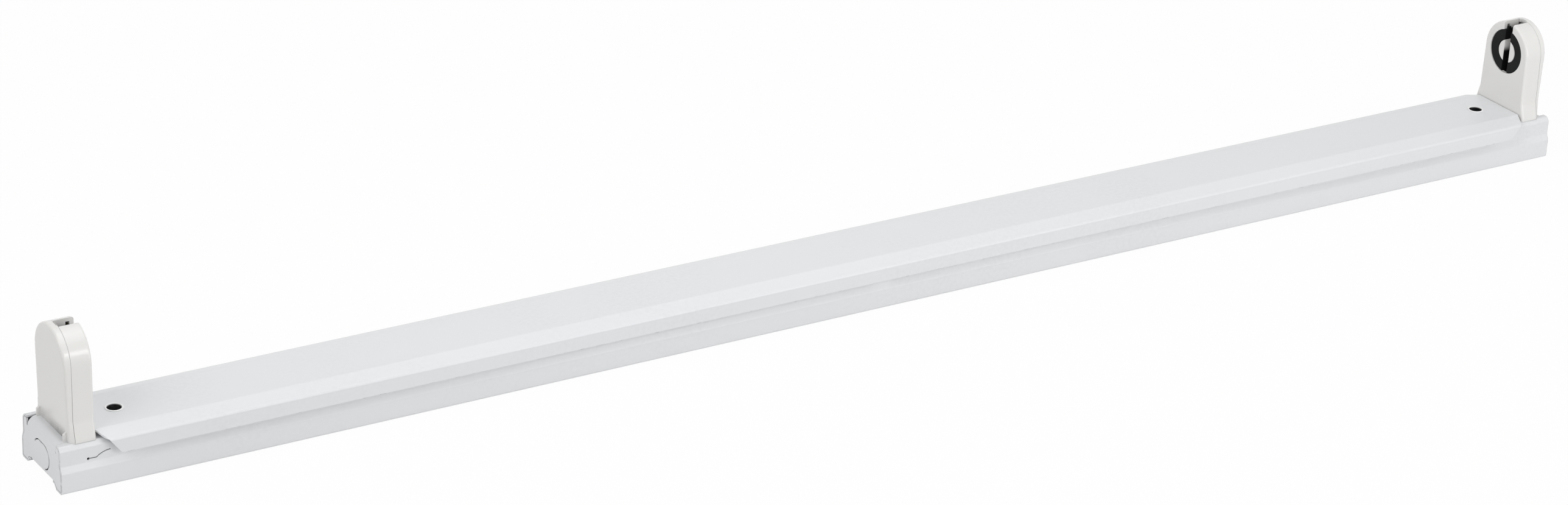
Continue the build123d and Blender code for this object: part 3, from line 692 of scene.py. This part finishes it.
ring_black = (0.007, 0.0075, 0.008, 1)
ring_bloom = (0.011, 0.0115, 0.012, 1)
block_ivory = (0.80, 0.79, 0.75, 1)
block_shade = (0.74, 0.73, 0.68, 1)
rubber_black = (0.028, 0.028, 0.028, 1)
rubber_bloom = (0.045, 0.045, 0.045, 1)
live_brown = (0.16, 0.07, 0.03, 1)
live_shade = (0.13, 0.055, 0.025, 1)
neutral_blue = (0.03, 0.14, 0.45, 1)
neutral_shade = (0.025, 0.11, 0.38, 1)
plain_looks = {
    "black_plastic": mould_plain("ring_plastic", ring_black, ring_bloom, 0.5, 0.008 * mm, 0.1),
    "block_plastic": mould_plain("block_plastic", block_ivory, block_shade, 0.42),
    "black_rubber": mould_plain("grommet_rubber", rubber_black, rubber_bloom, 0.7),
    "brown_insulation": mould_plain("live_cover", live_brown, live_shade, 0.4),
    "blue_insulation": mould_plain("neutral_cover", neutral_blue, neutral_shade, 0.4),
}
print("plain finishes:", list(plain_looks))

# %% [markdown]
# The earth wire is green with a yellow stripe along its length. The wire runs straight down the
# middle of the tray, so the stripe can be placed by how far a point stands from that middle line.

# %% Earth wire
earth_green = (0.05, 0.30, 0.04, 1)
earth_yellow = (0.78, 0.66, 0.03, 1)
stripe_edge = (0.42 * mm, 0.5 * mm)


def stripe_insulation():
    """Green insulation with a yellow stripe along its top."""
    cover = Recipe("earth_cover", IOR=1.5)
    stripe = cover.span(abs(cover.along("Y")), *stripe_edge, 1.0, 0.0)
    worn = stripe * cover.span(cover.noise(500, 2), 0.2, 0.5, 0.85, 1.0)
    cover.set("Base Color", cover.blend(worn, earth_green, earth_yellow))
    cover.set("Roughness", cover.span(cover.noise(260, 2), 0.3, 0.7, 0.34, 0.46))
    cover.relief(cover.noise(2600, 2), 0.008 * mm)
    return cover.material


earth_cover = stripe_insulation()
print("earth wire:", earth_cover.name)

# %% [markdown]
# The springs, the clamps and the earth screw are a yellow bronze, and the other screws are zinc
# plated. Both are rolled or turned metal: fully metallic, with small drifts of colour and a
# roughness that varies more than the colour does, because a metal shows its handling in its gloss.


# %% Metals
def plate_metal(name, colour, shade, roughness):
    """A bare or plated metal with drifting colour and gloss."""
    metal = Recipe(name, Metallic=1.0)
    cloud = metal.span(metal.noise(240, 3), 0.3, 0.7)
    metal.set("Base Color", metal.blend(cloud, colour, shade))
    bright, dull = roughness - 0.08, roughness + 0.08
    metal.set("Roughness", metal.span(metal.noise(900, 2), 0.3, 0.7, bright, dull))
    metal.relief(metal.noise(2500, 2), 0.006 * mm, 0.1 * mm)
    return metal.material


bronze_bright = (0.78, 0.60, 0.32, 1)
bronze_dull = (0.70, 0.50, 0.25, 1)
zinc_bright = (0.70, 0.71, 0.72, 1)
zinc_dull = (0.60, 0.61, 0.61, 1)
bronze = plate_metal("spring_bronze", bronze_bright, bronze_dull, 0.3)
zinc = plate_metal("plated_screw", zinc_bright, zinc_dull, 0.32)
print("metals:", bronze.name, zinc.name)

# %% [markdown]
# Each solid names its finish in the record, so the finishes are given by that name. The pieces
# that were modelled here take theirs the same way, and ride on the fixed body of the batten.

# %% Give each solid and piece its finish
finishes = {
    **plain_looks,
    "painted_steel": coated_steel,
    "white_plastic": holder_plastic,
    "green_insulation": earth_cover,
    "contact_bronze": bronze,
    "plated_steel": zinc,
}
slot_of = {row["node"]: row["material_slot"] for row in frame["record"]["subparts"]}
for name, node in nodes.items():
    for material_slot in node.material_slots:
        material_slot.material = finishes[slot_of[name]]

piece_slots = {lip: "painted_steel" for lip in hole_lips}
piece_slots.update({tongue: "white_plastic" for tongue in tongues})
piece_slots[grommet] = "black_rubber"
piece_slots[earth_screw] = "contact_bronze"
for screw in screws[1:]:
    piece_slots[screw] = "plated_steel"
for piece, slot in piece_slots.items():
    piece.data.materials.clear()
    piece.data.materials.append(finishes[slot])
    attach(piece, "batten")
print("finished solids:", len(slot_of), "finished pieces:", len(piece_slots))

# %% [markdown]
# The studio is a white one. A pale floor catches the batten's shadow, and seen by the camera it
# is nearly pure white, as a product page wants. That white comes from a glow that only the
# camera and reflections see, so it adds no light to the batten. The helper that mixes it in
# serves the world's sky too.


# %% Floor
def show_white(recipe, glow_kind, share):
    """Show the camera and reflections plain white, by share, in place of the lit shader."""
    rays = ("Is Camera Ray", "Is Glossy Ray", "Is Transmission Ray")
    seen, mirrored, through = [recipe.add("ShaderNodeLightPath", out=ray) for ray in rays]
    glow = recipe.add(glow_kind, {}, {"Color": (1, 1, 1, 1), "Strength": 1.0})
    lit = Value(recipe, recipe.shader.outputs[0])
    factor = (seen + mirrored + through) * share
    mixed = recipe.add("ShaderNodeMixShader", {}, [factor, lit, glow])
    recipe.feed(recipe.output.inputs["Surface"], mixed)


floor_size = 12.0
floor_drop = 0.2 * mm
floor_share = 0.97
floor_light = (0.8, 0.8, 0.8, 1)
floor_shade = (0.79, 0.79, 0.79, 1)
clean_start()
bpy.ops.mesh.primitive_plane_add(size=floor_size, location=(0, 0, cad_low.z - floor_drop))
floor = bpy.context.object
floor.name = "floor"
floor_look = Recipe("white_floor", Roughness=0.9, Specular_IOR_Level=0.2)
floor_tone = floor_look.span(floor_look.noise(3, 2), 0.3, 0.7)
floor_look.set("Base Color", floor_look.blend(floor_tone, floor_light, floor_shade))
show_white(floor_look, "ShaderNodeEmission", floor_share)
floor.data.materials.append(floor_look.material)
print("floor:", floor_size, "m, glow share", floor_share)

# %% [markdown]
# The world is an even white sky. Its strength sets how bright the shaded sides are. The camera and
# every mirrored ray see it as pure white instead, as they do the floor, so metal shows a white
# studio. The world has a node tree too, and the same recipe methods work on it.


# %% World
class Sky(Recipe):
    """The world's node tree, worked like a material's."""

    def __init__(self, name):
        self.world = bpy.data.worlds.new(name)
        self.world.use_nodes = True
        self.tree = self.world.node_tree
        self.shader = self.tree.nodes["Background"]
        self.output = self.tree.nodes["World Output"]


sky_strength = 0.5
sky = Sky("studio")
sky.set("Color", (1, 1, 1, 1))
sky.set("Strength", sky_strength)
show_white(sky, "ShaderNodeBackground", 1.0)
bpy.context.scene.world = sky.world
print("sky strength:", sky_strength)

# %% [markdown]
# Soft lamps shape the batten. The one high on the left throws the soft shade that lies on the
# cover beside the left holder. Two overhead ones even out the long top. They stand a little behind
# the batten, and leave the near side to a softbox low on the right, in front. A weak one closer
# over the middle lifts the top there. The small one in front draws the glare on the shoulder of
# the left holder: it stands where that curve mirrors it to the camera.


# %% Lamps
def soft_lamp(name, place, target, size, power):
    """A square softbox that faces the target."""
    data = bpy.data.lights.new(name, "AREA")
    data.shape = "SQUARE"
    data.size = size
    data.energy = power
    lamp = bpy.data.objects.new(name, data)
    lamp.location = place
    lamp.rotation_euler = (Vector(target) - Vector(place)).to_track_quat("-Z", "Y").to_euler()
    bpy.context.scene.collection.objects.link(lamp)
    return lamp


lamps = [
    soft_lamp("high_left", (-1.2, -0.3, 1.0), (-0.1, 0, 0), 0.7, 4.0),
    soft_lamp("overhead", (0.0, 0.25, 1.3), (0.0, 0, 0), 0.8, 1.1),
    soft_lamp("over_right", (0.6, 0.2, 1.4), (0.1, 0, 0), 1.0, 1.4),
    soft_lamp("middle", (-0.15, -0.1, 0.6), (0.2, 0, 0), 0.4, 0.7),
    soft_lamp("low_right", (0.45, -0.8, 0.18), (0.1, 0, 0), 0.4, 1.8),
    soft_lamp("small_front", (0.1, -0.9, 0.48), (-0.3, 0, 0.05), 0.2, 0.85),
]
print("lamp powers:", {lamp.name: lamp.data.energy for lamp in lamps})

# %% [markdown]
# The Standard view shows a colour about as it is written, so the whites keep the grey that they
# were given. A filmic view would bend them.

# %% Colour management
bpy.context.scene.view_settings.view_transform = "Standard"
print("view:", bpy.context.scene.view_settings.view_transform)
